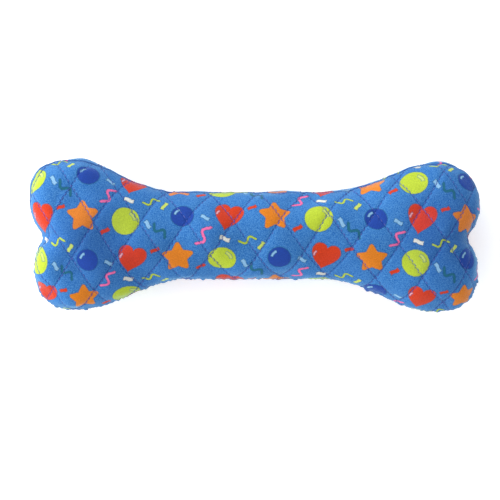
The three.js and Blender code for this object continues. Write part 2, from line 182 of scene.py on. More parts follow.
# Lumps of the stuffing, and the noise that makes the shapes uneven
LUMP_SIZE = 0.8
LUMP_WAVE = 42
NOISE_WAVES = 14
NOISE_STRETCH = (0.7, 1.4)

# Seeds of the random draws; a panel or a lobe may add its own number
LUMP_SEED = 5
PUCKER_SEED = 11
GATHER_SEED = 23
TUFT_SEED = 31
RISING_SEED = 41
FALLING_SEED = 46
SINK_SEED = 61

# Mesh steps
QUARTER_STEPS = 600
WALK_STEPS = 200
OUTLINE_COLUMNS = 1120
COVER_ROWS = 78
COVER_INNER_ROWS = 8
WADDING_COLUMNS = 240
WADDING_ROWS = 30
SEAM_COLUMNS = 1400
THREAD_SIDES = 6
LOBE_FAN_COLUMNS = 22
LOBE_SIDE_COLUMNS = 12
LOBE_WALL_COLUMNS = 8
LOBE_ROWS = 26
SHAFT_COLUMNS = 90
SHAFT_ROWS = 18
SHAFT_FACE_ROWS = 44
BULB_SIDES = 72
BULB_CORNER_ROWS = 14
BULB_WALL_ROWS = 16
WELD_DISTANCE = 1e-7

# The print: shapes in a half-drop repeat, each known by the distance to its edge in millimetres
PRINT_REPEAT = (64, 58)
PRINT_SHIFT = {1: (0, 0), -1: (29, 17)}
PRINT_WOBBLE = 0.45
WOBBLE_SCALE = 1.3
INK_EDGE = 0.18
INK_HALO = 0.6
INK_RIM_SHADE = 0.35
INK_HALO_SHADE = 0.8

# Proportions of the motifs, mostly shares of their size; angles are in radians, roundings in millimetres
GLINT_RING = 0.66
GLINT_HALF_WIDTH = 0.1
GLINT_HALF_ANGLE = 0.5
GLINT_ROUNDING = 0.8
STAR_POINTS = 5
STAR_INNER = 0.52
STAR_TIP = 0.86
STAR_ROUNDING = 1.6
HEART_SHEAR = 0.75
HEART_SQUASH = 1.1
HEART_DROP = 0.2
HEART_SLOPE = 0.75
BAR_HALF_WIDTH = 0.4
BAR_PACE = 2.6
BAR_BEND = 0.16
SQUIGGLE_PACE = 4.6
SQUIGGLE_SWING = 0.27
SQUIGGLE_HALF_WIDTH = 0.12
SQUIGGLE_ROUNDING = 0.6

# Grain of a surface: fine noise, with a little of a broad noise that clumps it
GRAIN_DETAIL = 1.0
GRAIN_ROUGHNESS = 0.6
GRAIN_MIDDLE = 0.515
GRAIN_RANGE = (0.2, 0.8)
CLUMP_SCALE = 0.12
CLUMP_SHARE = 0.03

# Pile of the plush, and how strongly its grain shades red, green and blue on bare cloth and on ink
PILE_SCALE = 1700.0
PILE_CONTRAST = (4.4, 2.25, 1.1, 1)
INK_CONTRAST = (0.8, 0.8, 0.8, 1)
PILE_ROUGHNESS = (0.82, 0.98)
PILE_RELIEF = (0.5, 0.0006)
PILE_SHEEN = 0.65
PILE_SHEEN_ROUGHNESS = 0.3
PILE_SPECULAR = 0.15

# Painted shade in a round patch in each end, and the nap of the plush brushed over in slow patches all over;
# both, and the painted highlight, less where inked
END_SHADE_CENTRE = 117
END_SHADE_SHIFT = 11
END_SHADE_REACH = (44, 8)
NAP_SCALE = 30.0
PAINTED_END_SHADE = 0.3
NAP_PATCHES = 0.1
NAP_PATCH_RANGE = (0.35, 0.65)
NAP_AND_PAINTED_LIGHT_ON_INK = 0.3

# Picture: the photograph's frame, and where the toy lies in it
PICTURE_PIXELS = 500
TOY_PIXELS = 453
TOY_CENTRE_PIXEL = (254.2, 235.3)
CAMERA_HEIGHT = 1.4
SENSOR_WIDTH = 36

# Floor and light: strengths at the horizon and overhead, and each lamp's name, place, size and power
FLOOR_SIZE = 6
FLOOR_GLOW = 0.3
FLOOR_ROUGHNESS = 0.9
FLOOR_SPECULAR = 0.1
SURROUND_STRENGTHS = (1.38, 0.94)
SURROUND_LEAN = (-0.45, 0.24, 0.0)
STUDIO_LAMPS = (("key", (-0.9, 1.0, 0.45), 0.8, 6.0), ("fill", (-1.3, -0.2, 0.35), 1.0, 14.0))

# The two panels, and the side of the toy that each is on
PANELS = (("front", 1), ("back", -1))


def srgb(red, green, blue):
    """A linear colour from red, green and blue out of 255, by the sRGB curve."""
    shares = (channel / 255 for channel in (red, green, blue))
    curve = [c / 12.92 if c <= 0.04045 else ((c + 0.055) / 1.055) ** 2.4 for c in shares]
    return (*curve, 1.0)


CLOTH_BLUE = srgb(54, 112, 175)
SHADOW_BLUE = srgb(15, 42, 116)
# Painted highlight for the ridges beside the needle holes
RIDGE_HIGHLIGHT_BLUE = srgb(96, 156, 212)
INK_SHADOW = srgb(30, 84, 118)
ORANGE = srgb(203, 117, 28)
RED = srgb(187, 54, 23)
LIME = srgb(166, 186, 50)
ROYAL = srgb(29, 62, 145)
PINK = srgb(220, 100, 155)
ROSE = srgb(222, 148, 157)
PALE_BLUE = srgb(126, 170, 206)
PALE_LIME = srgb(180, 197, 92)
TEAL = srgb(31, 96, 118)
CREAM = srgb(203, 203, 196)
NAVY_THREAD = srgb(42, 62, 146)
VIOLET_THREAD = srgb(58, 78, 160)
SHEEN_BLUE = srgb(178, 232, 255)
WADDING_WHITE = srgb(238, 236, 228)
FIBRE_WHITE = srgb(247, 247, 242)
VINYL_CREAM = srgb(230, 225, 209)
WHISTLE_WHITE = srgb(242, 242, 237)
REED_AMBER = srgb(217, 194, 122)
FLOOR_WHITE = (0.95, 0.95, 0.95, 1)
LIGHT_WHITE = (1, 1, 1, 1)


# The stuffed form
def smooth_step(value, start, end):
    """Rises from 0 at start to 1 at end, level at both."""
    share = np.clip((value - start) / (end - start), 0, 1)
    return share * share * (3 - 2 * share)


def soft_noise(x, y, wave, seed):
    """Even noise of about unit size: the sum of cosine waves in random directions, near one wavelength."""
    draw = np.random.default_rng(seed)
    lowest = (0, NOISE_STRETCH[0], 0)
    highest = (2 * np.pi, NOISE_STRETCH[1], 2 * np.pi)
    total = 0
    for heading, stretch, phase in draw.uniform(lowest, highest, (NOISE_WAVES, 3)):
        pace = 2 * np.pi / (wave * stretch)
        total = total + np.cos(pace * (x * np.cos(heading) + y * np.sin(heading)) + phase)
    return total * math.sqrt(2 / NOISE_WAVES)


def side_outline(x):
    """Half width of the bone at x, and how far it has turned from shaft to end: half a cosine wave."""
    share = np.clip((x - SHOULDER_X) / SHOULDER_LENGTH, 0, 1)
    blend = (1 - np.cos(np.pi * share)) / 2
    return SHAFT_WIDTH / 2 + (TOY_WIDTH / 2 - SHAFT_WIDTH / 2) * blend, blend


def quarter_outline():
    """One quarter of the outline, from the middle of the shaft to the notch, as x and y.

    The shoulder's half cosine wave runs on into an arc round the lobe's centre, whose radius swells to
    the lobe's corner and back as a squared sine, and that into the notch's arc, which curves the other
    way and meets it at the notch angle.
    """
    side_x = np.linspace(0, LOBE_X, QUARTER_STEPS, endpoint=False)
    side_y = side_outline(side_x)[0]
    lobe_turn = np.linspace(np.pi / 2, -NOTCH_ANGLE, QUARTER_STEPS, endpoint=False)
    notch_turn = np.linspace(np.pi - NOTCH_ANGLE, np.pi, QUARTER_STEPS // 4)
    lobe_radius = LOBE_RADIUS + LOBE_CORNER * np.sin(2 * np.maximum(lobe_turn, 0)) ** 2
    lobe_x = LOBE_X + lobe_radius * np.cos(lobe_turn)
    lobe_y = LOBE_Y + lobe_radius * np.sin(lobe_turn)
    notch_x = LOBE_X + NOTCH_REACH + NOTCH_RADIUS * np.cos(notch_turn)
    notch_y = NOTCH_RADIUS * np.sin(notch_turn)
    return np.concatenate((side_x, lobe_x, notch_x)), np.concatenate((side_y, lobe_y, notch_y))


QUARTER_X, QUARTER_Y = quarter_outline()


class Rays:
    """Level rays from the bone's spine to its outline, one in each row of a column of numbers."""

    def __init__(self, edge_x, edge_y):
        self.edge_x = np.asarray(edge_x, float).reshape(-1, 1)
        self.edge_y = np.asarray(edge_y, float).reshape(-1, 1)
        self.spine_x = np.clip(self.edge_x, -LOBE_X, LOBE_X)
        blend = side_outline(np.abs(self.spine_x))[1]
        self.reach = np.hypot(self.edge_x - self.spine_x, self.edge_y)
        self.along = (self.edge_x - self.spine_x) / self.reach
        self.across = self.edge_y / self.reach
        self.half_thickness = (SHAFT_THICKNESS + (END_THICKNESS - SHAFT_THICKNESS) * blend) / 2
        self.fullness = SHAFT_FULLNESS + (END_FULLNESS - SHAFT_FULLNESS) * blend * self.across ** 2

    def rim(self, side):
        """Turn of the section, from the middle of a panel, at which the panel meets the leaning seam."""
        seam = SEAM_ANGLE - SEAM_LEAN * self.across
        return seam if side > 0 else np.pi - seam


def outline_rays(columns):
    """Rays to evenly spaced points of the whole outline, clockwise seen from above."""
    quarter = columns // 4
    walk = np.concatenate(([0], np.cumsum(np.hypot(np.diff(QUARTER_X), np.diff(QUARTER_Y)))))
    stops = np.linspace(0, walk[-1], quarter + 1)
    x = np.interp(stops, walk, QUARTER_X)
    y = np.interp(stops, walk, QUARTER_Y)
    there_x, there_y = x[:-1], y[:-1]
    back_x, back_y = x[:0:-1], y[:0:-1]
    edge_x = np.concatenate((there_x, back_x, -there_x, -back_x))
    edge_y = np.concatenate((there_y, -back_y, -there_y, back_y))
    return Rays(edge_x, edge_y)


def rays_through(a, b):
    """Rays that pass through points of the cloth, a along the bone and b across it.

    Beside the spine a ray leaves it squarely. Past the spine's end the rays fan out from it.
    """
    fan = QUARTER_X >= LOBE_X
    fan_angle = np.arctan2(QUARTER_Y[fan], QUARTER_X[fan] - LOBE_X)[::-1]
    past = np.abs(a) - LOBE_X
    angle = np.arctan2(np.abs(b), np.maximum(past, 0))
    fan_x = np.interp(angle, fan_angle, QUARTER_X[fan][::-1])
    fan_y = np.interp(angle, fan_angle, QUARTER_Y[fan][::-1])
    edge_x = np.where(past > 0, fan_x, np.abs(a)) * np.where(a < 0, -1, 1)
    edge_y = np.where(past > 0, fan_y, side_outline(np.abs(a))[0]) * np.where(b < 0, -1, 1)
    return Rays(edge_x, edge_y)


def form_points(rays, turn, height, side):
    """Points of the stuffed form, raised by a height, on its front (side 1) or back (side -1).

    Each lies at the share sin(turn) of its ray's reach, and at a level that follows a rounded
    section: the half thickness times the square root of 1 less the share to the fullness.
    """
    share = np.sin(turn)
    level = np.sqrt(np.clip(1 - share ** rays.fullness, 0, None)) * np.sign(np.cos(turn))
    length = (rays.reach + height) * share
    x = rays.spine_x + rays.along * length
    y = rays.across * length
    z = MIDDLE_Z + side * (rays.half_thickness + height) * level
    return np.stack(np.broadcast_arrays(x, y, z), axis=-1)


def hand_sewn(points):
    """Points with each lobe as it came out: drifted and swollen, by amounts that fade along the shaft.

    A lobe swells with the way from its centre, and towards its corner as a squared sine of the angle
    round that centre. Its shoulder swells as a squared sine of the way along it.
    """
    x = points[..., 0]
    y = points[..., 1]
    moved = points.copy()
    upper = smooth_step(y, -LOBE_Y, LOBE_Y)
    for end, flank, along, across, growth, corner, shoulder in SEWN_LOBES:
        own_flank = upper if flank > 0 else 1 - upper
        weight = smooth_step(x * end, DRIFT_START, LOBE_X) * own_flank
        out = x * end - LOBE_X
        up = y * flank - LOBE_Y
        bulge = np.sin(2 * np.clip(np.arctan2(up, out), 0, np.pi / 2)) ** 2
        swell = (growth + corner * bulge) / LOBE_RADIUS
        moved[..., 0] += weight * (along + end * out * swell)
        moved[..., 1] += weight * (across + flank * up * swell)
        share = np.clip((x * end - SHOULDER_X) / SHOULDER_LENGTH, 0, 1)
        moved[..., 1] += flank * shoulder * np.sin(np.pi * share) ** 2 * own_flank
    moved[..., 2] = np.maximum(moved[..., 2], 0)
    return moved


def walked(points):
    """Length walked along each row of points, from its first point."""
    steps = np.linalg.norm(np.diff(points, axis=1), axis=-1)
    return np.concatenate((np.zeros((len(points), 1)), np.cumsum(steps, axis=1)), axis=1)


# The quilted cloth
def quilt_rows(a, b, side):
    """Numbers of the rising and the falling row at a place in the cloth, whole where a row runs.

    They are the difference and the sum of two shares: the way along over the diamond's length, and the
    way up over its height. On the front the rows climb along the toy's right half.
    """
    crossing_a, crossing_b = QUILT_CROSSING[side]
    along = (a - crossing_a) / QUILT_REPEAT[0]
    up = (b - crossing_b - QUILT_RISE[side] * np.maximum(a, 0)) / QUILT_REPEAT[1]
    return along - up, along + up


def quilt_dip(row, stitches, depth):
    """How far a row of stitches draws the cloth in: a wide crease and a narrow tuck under each stitch."""
    distance = np.abs(row - np.round(row)) * QUILT_SPACING
    crease = np.exp(-np.hypot(distance, CREASE_ROUNDING) / CREASE_WIDTH)
    tuck = np.exp(-(distance / TUCK_WIDTH) ** 2) * (1 + np.cos(2 * np.pi * stitches)) / 2
    return depth * (crease + TUCK_SHARE * tuck)


def cover_height(rays, a, b, seam_distance, side):
    """Height of the quilted cloth over the smooth form.

    The rows of stitches draw the cloth in, the stuffing adds slow lumps, and both ease off towards the
    seam. There the cloth rolls in along a quarter circle, with gathers, rounded puckers and round pinches.
    """
    rising, falling = quilt_rows(a, b, side)
    stitches = (falling - rising) / 2 * QUILT_RUN / STITCH_PITCH
    lumps = LUMP_SIZE * soft_noise(a, b, LUMP_WAVE, LUMP_SEED + side)
    dips = quilt_dip(rising, stitches, RISING_DEPTH) + quilt_dip(falling, stitches, FALLING_DEPTH)
    roll = np.clip(1 - seam_distance / SEAM_ROLL_WIDTH, 0, 1)
    rolled = SEAM_ROLL_DEPTH * (1 - np.sqrt(1 - roll ** 2))
    scallops = np.abs(soft_noise(rays.edge_x, rays.edge_y, PUCKER_WAVE, PUCKER_SEED)) - PUCKER_SINK
    pucker = PUCKER_SIZE * scallops * (1 - PUCKER_CALM * smooth_step(rays.across, *CALM_FLANKS))
    gather = GATHER_SIZE * soft_noise(rays.edge_x, rays.edge_y, GATHER_WAVE, GATHER_SEED)
    ease = smooth_step(seam_distance, 0, SEAM_EASE)
    height = lumps * ease - dips * (ROW_END_SHARE + (1 - ROW_END_SHARE) * ease) - rolled
    for edge_x, flank, from_seam, depth in PINCHES:
        off = np.hypot(rays.edge_x - edge_x, seam_distance - from_seam) / PINCH_WIDTH
        height = height - depth * np.exp(-off ** 2) * (flank * rays.edge_y > 0)
    height = height + pucker * np.clip(1 - seam_distance / PUCKER_REACH, 0, 1) ** 2
    height = height + gather * np.clip(1 - seam_distance / GATHER_REACH, 0, 1) ** 2
    return np.maximum(height, -COVER_DEEPEST)


def panel_turns(rays, side, rows):
    """Turns of the section from the middle of a panel to its seam, in even steps."""
    return rays.rim(side) * np.linspace(0, 1, rows) * np.ones_like(rays.reach)


def cloth_place(rays, turn, side):
    """The cloth's own coordinates at each turn, along and across, and the way left to the seam."""
    walk = walked(form_points(rays, turn, 0, side))
    return rays.spine_x + rays.along * walk, rays.across * walk, walk[:, -1:] - walk


def cloth_points(a, b, side, quilted=True):
    """Points of a panel at places of the cloth, and the way left from each to the seam.

    The turn of the section comes from a walk along the ray over the smooth form, taken in small
    steps and read where it has gone as far as the place lies from the spine.
    """
    rays = rays_through(a, b)
    turns = panel_turns(rays, side, WALK_STEPS)
    walk = walked(form_points(rays, turns, 0, side))
    wanted = np.hypot(a - rays.spine_x[:, 0], b)[:, None]
    after = np.clip(np.sum(walk < wanted, axis=1, keepdims=True), 1, walk.shape[1] - 1)
    walk_before = np.take_along_axis(walk, after - 1, axis=1)
    walk_after = np.take_along_axis(walk, after, axis=1)
    share = np.clip((wanted - walk_before) / (walk_after - walk_before), 0, 1)
    turn_before = np.take_along_axis(turns, after - 1, axis=1)
    turn = turn_before + share * (turns[:, 1:2] - turns[:, :1])
    left = walk[:, -1:] - wanted
    height = 0
    if quilted:
        height = cover_height(rays, a[:, None], b[:, None], np.maximum(left, 0), side)
    return hand_sewn(form_points(rays, turn, height, side))[:, 0], left[:, 0]


# Meshes
def unit(vectors):
    """Vectors in rows, brought to length 1."""
    return vectors / np.linalg.norm(vectors, axis=1, keepdims=True)


def round_angles(sides):
    """Even angles round a circle, in a column."""
    return np.linspace(0, 2 * np.pi, sides, endpoint=False)[:, None]


def there_and_back(outer, inner):
    """Each row of an outer grid, carried on by the inner grid's row from its far end."""
    return np.concatenate((outer, inner[:, ::-1]), axis=1)


def grid_quads(columns, rows, looped=True, side=1):
    """Corner numbers of a grid's quads, turned over for side -1; points run along each column in turn."""
    column = np.arange(columns if looped else columns - 1)[:, None]
    row = np.arange(rows - 1)[None, :]
    beside = (column + 1) % columns
    corners = (column * rows + row, beside * rows + row, beside * rows + row + 1, column * rows + row + 1)
    quads = np.stack([corner.ravel() for corner in corners], axis=-1)
    return quads if side > 0 else quads[:, ::-1]


def mesh_piece(name, points, quads, material, welded=False):
    """A smooth piece from points in millimetres; welded merges points that lie on each other."""
    mesh = bpy.data.meshes.new(name)
    mesh.from_pydata((points.reshape(-1, 3) * MM).tolist(), [], quads.tolist())
    mesh.materials.append(material)
    piece = bpy.data.objects.new(name, mesh)
    bpy.context.scene.collection.objects.link(piece)
    if welded:
        weld(mesh)
    mesh.polygons.foreach_set("use_smooth", np.ones(len(mesh.polygons), bool))
    return piece


def weld(mesh):
    """Merges points that lie on each other, which closes spines and poles."""
    shape = bmesh.new()
    shape.from_mesh(mesh)
    bmesh.ops.remove_doubles(shape, verts=shape.verts, dist=WELD_DISTANCE)
    shape.to_mesh(mesh)
    shape.free()


def dress_cloth(mesh, maps, seam):
    """Gives a cover its UV maps, each from two coordinates at every point, and its nearness to the seam."""
    corner = np.empty(len(mesh.loops), np.int32)
    mesh.loops.foreach_get("vertex_index", corner)
    for name, (u, v) in maps.items():
        layer = mesh.uv_layers.new(name=name)
        layer.uv.foreach_set("vector", np.stack((u.ravel(), v.ravel()), axis=-1)[corner].ravel())
    mesh.attributes.new("seam", "FLOAT", "POINT").data.foreach_set("value", seam.ravel())


def finish_piece(piece, slot, *nodes):
    """Hides the parts of model.glb that a piece stands for, and bakes its place into its mesh; its finish is
    not used.
    """
    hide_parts(*nodes)
    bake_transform(piece)


# Shader graphs
class Graph:
    """Adds nodes to a tree. What feeds an input is a plain value or another node's output."""

    def __init__(self, tree):
        self.tree = tree

    def feed(self, socket, value):
        if isinstance(value, bpy.types.NodeSocket):
            self.tree.links.new(value, socket)
        else:
            socket.default_value = value

    def node(self, kind, inputs=None, **settings):
        made = self.tree.nodes.new("ShaderNode" + kind)
        for name, value in settings.items():
            setattr(made, name, value)
        for name, value in (inputs or {}).items():
            self.feed(made.inputs[name], value)
        return made

    def math(self, operation, *values):
        return self.node("Math", dict(enumerate(values)), operation=operation).outputs[0]

    def vector_math(self, operation, *values):
        made = self.node("VectorMath", dict(enumerate(values)), operation=operation)
        return made.outputs["Value" if operation == "DOT_PRODUCT" else "Vector"]

    def parts(self, vector):
        return self.node("SeparateXYZ", {"Vector": vector}).outputs

    def mix(self, factor, first, second, blend_type="MIX"):
        inputs = {0: factor, 6: first, 7: second}
        return self.node("Mix", inputs, data_type="RGBA", blend_type=blend_type).outputs[2]

    def ramp(self, value, low, high, low_result=0.0, high_result=1.0):
        places = {"Value": value, "From Min": low, "From Max": high}
        results = {"To Min": low_result, "To Max": high_result}
        return self.node("MapRange", places | results, interpolation_type="SMOOTHSTEP").outputs[0]

    def noise(self, point, scale, detail=2.0, roughness=0.5):
        inputs = {"Vector": point, "Scale": scale, "Detail": detail, "Roughness": roughness}
        return self.node("TexNoise", inputs).outputs[0]

    def group(self, tree, inputs):
        return self.node("Group", inputs, node_tree=tree).outputs


def new_group(name, inputs, outputs):
    """A node group with the named sockets: its graph, what comes in and what goes out."""
    tree = bpy.data.node_groups.new(name, "ShaderNodeTree")
    for direction, sockets in (("INPUT", inputs), ("OUTPUT", outputs)):
        for socket, kind in sockets.items():
            tree.interface.new_socket(socket, in_out=direction, socket_type="NodeSocket" + kind)
    given = tree.nodes.new("NodeGroupInput").outputs
    result = tree.nodes.new("NodeGroupOutput").inputs
    return tree, Graph(tree), given, result


def new_material(name):
    """A material with its graph and its Principled shader."""
    material = bpy.data.materials.new(name)
    material.use_nodes = True
    return material, Graph(material.node_tree), material.node_tree.nodes["Principled BSDF"]


# The print
def motif_place_group():
    """Places one motif: the cloth's coordinates about its centre, wrapped to the repeat and turned.

    Each column of the repeat lies half a repeat lower than the one before.
    """
    sockets = {"Cloth": "Vector", "Centre": "Vector", "Turn": "Float"}
    tree, graph, given, result = new_group("motif_place", sockets, {"Local": "Vector"})
    parts = graph.parts(graph.vector_math("SUBTRACT", given["Cloth"], given["Centre"]))
    column = graph.math("ROUND", graph.math("DIVIDE", parts["X"], PRINT_REPEAT[0]))
    x = graph.math("MULTIPLY_ADD", column, -PRINT_REPEAT[0], parts["X"])
    dropped = graph.math("MULTIPLY_ADD", column, -PRINT_REPEAT[1] / 2, parts["Y"])
    row = graph.math("ROUND", graph.math("DIVIDE", dropped, PRINT_REPEAT[1]))
    y = graph.math("MULTIPLY_ADD", row, -PRINT_REPEAT[1], dropped)
    wrapped = graph.node("CombineXYZ", {"X": x, "Y": y}).outputs[0]
    turned = graph.node("VectorRotate", {"Vector": wrapped, "Angle": given["Turn"]}, rotation_type="Z_AXIS")
    graph.feed(result["Local"], turned.outputs[0])
    return tree


def shape_group(name, distance):
    """A group that turns a motif's local coordinates and size into the distance to its edge."""
    sockets = {"Local": "Vector", "Size": "Float"}
    tree, graph, given, result = new_group(name, sockets, {"Distance": "Float"})
    parts = graph.parts(given["Local"])
    graph.feed(result["Distance"], distance(graph, parts["X"], parts["Y"], given["Size"]))
    return tree


def polar(graph, x, y):
    """Radius and angle of a point."""
    squares = graph.math("MULTIPLY_ADD", x, x, graph.math("MULTIPLY", y, y))
    return graph.math("SQRT", squares), graph.math("ARCTAN2", y, x)


def disc(graph, x, y, size):
    """A round spot: the radius less the size."""
    return graph.math("SUBTRACT", polar(graph, x, y)[0], size)


def glint(graph, x, y, size):
    """A curved highlight inside a spot: part of a ring, cut off at an angle on each side."""
    radius, angle = polar(graph, x, y)
    off_middle = graph.math("ABSOLUTE", graph.math("MULTIPLY_ADD", size, -GLINT_RING, radius))
    thickness = graph.math("MULTIPLY_ADD", size, -GLINT_HALF_WIDTH, off_middle)
    reach = graph.math("SUBTRACT", graph.math("ABSOLUTE", angle), GLINT_HALF_ANGLE)
    return graph.math("SMOOTH_MAX", thickness, graph.math("MULTIPLY", reach, size), GLINT_ROUNDING)


def star(graph, x, y, size):
    """A five-point star: the angle folds to one half point, whose edge is a straight line; tips rounded."""
    half_point = math.pi / STAR_POINTS
    edge_along = STAR_INNER * math.sin(half_point)
    edge_across = 1 - STAR_INNER * math.cos(half_point)
    edge = math.hypot(edge_along, edge_across)
    radius, angle = polar(graph, x, y)
    folded = graph.math("PINGPONG", angle, half_point)
    along = graph.math("SUBTRACT", graph.math("MULTIPLY", radius, graph.math("COSINE", folded)), size)
    across = graph.math("MULTIPLY", radius, graph.math("SINE", folded))
    slant = graph.math("MULTIPLY", across, edge_across / edge)
    side = graph.math("MULTIPLY_ADD", along, edge_along / edge, slant)
    tip = graph.math("MULTIPLY_ADD", size, -STAR_TIP, radius)
    return graph.math("SMOOTH_MAX", side, tip, STAR_ROUNDING)


def heart(graph, x, y, size):
    """A heart: a circle whose height is sheared by the square root of the way from its middle."""
    u = graph.math("DIVIDE", x, size)
    v = graph.math("DIVIDE", y, size)
    shear = graph.math("SQRT", graph.math("ABSOLUTE", u))
    squashed = graph.math("MULTIPLY_ADD", v, HEART_SQUASH, HEART_DROP)
    lowered = graph.math("MULTIPLY_ADD", shear, -HEART_SHEAR, squashed)
    beyond = graph.math("SUBTRACT", polar(graph, u, lowered)[0], 1)
    return graph.math("MULTIPLY", beyond, graph.math("MULTIPLY", size, HEART_SLOPE))


def bar(graph, x, y, size):
    """A scrap of paper: a short bar, bent into a slight wave."""
    bend = graph.math("SINE", graph.math("DIVIDE", graph.math("MULTIPLY", x, BAR_PACE), size))
    bent = graph.math("MULTIPLY_ADD", bend, graph.math("MULTIPLY", size, BAR_BEND), y)
    thickness = graph.math("MULTIPLY_ADD", size, -BAR_HALF_WIDTH, graph.math("ABSOLUTE", bent))
    return graph.math("MAXIMUM", graph.math("SUBTRACT", graph.math("ABSOLUTE", x), size), thickness)


def squiggle(graph, x, y, size):
    """A wavy line of even width, cut off at both ends.

    How far a point is from a sine wave, up or down, over the length of the wave's slope, less the
    line's half width.
    """
    phase = graph.math("DIVIDE", graph.math("MULTIPLY", x, SQUIGGLE_PACE), size)
    wave = graph.math("SINE", phase)
    slope = graph.math("MULTIPLY", graph.math("COSINE", phase), SQUIGGLE_PACE * SQUIGGLE_SWING)
    steepness = graph.math("SQRT", graph.math("MULTIPLY_ADD", slope, slope, 1.0))
    off_line = graph.math("MULTIPLY_ADD", wave, graph.math("MULTIPLY", size, -SQUIGGLE_SWING), y)
    near = graph.math("DIVIDE", graph.math("ABSOLUTE", off_line), steepness)
    thickness = graph.math("MULTIPLY_ADD", size, -SQUIGGLE_HALF_WIDTH, near)
    reach = graph.math("SUBTRACT", graph.math("ABSOLUTE", x), size)
    return graph.math("SMOOTH_MAX", reach, thickness, SQUIGGLE_ROUNDING)


# Motifs of one repeat: shape, centre, turn in degrees, size and ink, printed in this order
PRINT_MOTIFS = (
    (star, (14, 14), 20, 12.5, ORANGE),
    (disc, (43, 12), 0, 9.4, LIME),
    (glint, (43, 12), 35, 9.4, PALE_LIME),
    (heart, (47, 42), -14, 9.6, RED),
    (glint, (43.5, 44), 150, 5.6, ROSE),
    (disc, (17, 43), 0, 7.6, ROYAL),
    (glint, (17, 43), 140, 7.6, PALE_BLUE),
    (squiggle, (31, 29), 62, 7.5, PINK),
    (squiggle, (2, 33), -38, 6.5, TEAL),
    (squiggle, (60, 26), 24, 6.0, LIME),
    (bar, (29, 5), 40, 3.3, RED),
    (bar, (58, 9), -50, 3.2, PALE_BLUE),
    (bar, (5, 51), 66, 3.1, PALE_LIME),
    (bar, (32, 41), -20, 3.0, PALE_BLUE),
    (bar, (63, 49), 28, 3.0, RED),
    (bar, (45, 27), -12, 3.4, CREAM),
)


def ink_group():
    """Lays one ink over the colour below it: a soft-edged fill, darker at its rim and in a thin halo.

    It also keeps a mask of where any ink has been printed so far.
    """
    sockets = {"Under": "Color", "Ink": "Color", "Distance": "Float", "Printed": "Float"}
    tree, graph, given, result = new_group("ink", sockets, {"Colour": "Color", "Printed": "Float"})
    rim = graph.ramp(given["Distance"], -INK_HALO, 0, 0, INK_RIM_SHADE)
    halo = graph.ramp(given["Distance"], INK_HALO, 0, 0, INK_HALO_SHADE)
    fill = graph.ramp(given["Distance"], INK_EDGE, -INK_EDGE)
    haloed = graph.mix(halo, given["Under"], INK_SHADOW)
    rimmed = graph.mix(rim, given["Ink"], INK_SHADOW)
    graph.feed(result["Colour"], graph.mix(fill, haloed, rimmed))
    graph.feed(result["Printed"], graph.math("MAXIMUM", given["Printed"], fill))
    return tree


def cloth_print_group():
    """The whole print on the cloth's own coordinates, its edges roughened by the pile."""
    results = {"Colour": "Color", "Printed": "Float"}
    tree, graph, given, result = new_group("cloth_print", {"Cloth": "Vector"}, results)
    place = motif_place_group()
    ink = ink_group()
    shapes = {}
    pile = {"Vector": given["Cloth"], "Scale": WOBBLE_SCALE, "Detail": GRAIN_DETAIL}
    wobble = graph.node("TexNoise", pile).outputs["Color"]
    roughened = graph.vector_math("MULTIPLY_ADD", wobble, 3 * (2 * PRINT_WOBBLE,), given["Cloth"])
    colour = CLOTH_BLUE
    printed = 0.0
    for shape, centre, turn, size, shade in PRINT_MOTIFS:
        if shape not in shapes:
            shapes[shape] = shape_group(shape.__name__ + "_motif", shape)
        spot = {"Cloth": roughened, "Centre": (*centre, 0), "Turn": -math.radians(turn)}
        local = graph.group(place, spot)["Local"]
        distance = graph.group(shapes[shape], {"Local": local, "Size": size})["Distance"]
        below = {"Under": colour, "Ink": shade, "Distance": distance, "Printed": printed}
        colour, printed = graph.group(ink, below).values()
    graph.feed(result["Colour"], colour)
    graph.feed(result["Printed"], printed)
    return tree


def grain_group():
    """Grain of a surface at a scale: a shade to multiply a colour by, and a height for bump.

    The contrast is a vector, how strongly the shade of red, of green and of blue follows the grain.
    """
    sockets = {"Point": "Vector", "Scale": "Float", "Contrast": "Vector"}
    tree, graph, given, result = new_group("surface_grain", sockets, {"Shade": "Color", "Height": "Float"})
    fine = graph.noise(given["Point"], given["Scale"], GRAIN_DETAIL, GRAIN_ROUGHNESS)
    broad = graph.noise(given["Point"], graph.math("MULTIPLY", given["Scale"], CLUMP_SCALE))
    clumped = graph.math("MULTIPLY_ADD", broad, CLUMP_SHARE, fine)
    centred = graph.math("SUBTRACT", clumped, GRAIN_MIDDLE)
    shade = graph.vector_math("MULTIPLY_ADD", centred, given["Contrast"], (1, 1, 1))
    graph.feed(result["Shade"], graph.vector_math("MAXIMUM", shade, (0, 0, 0)))
    graph.feed(result["Height"], fine)
    return tree


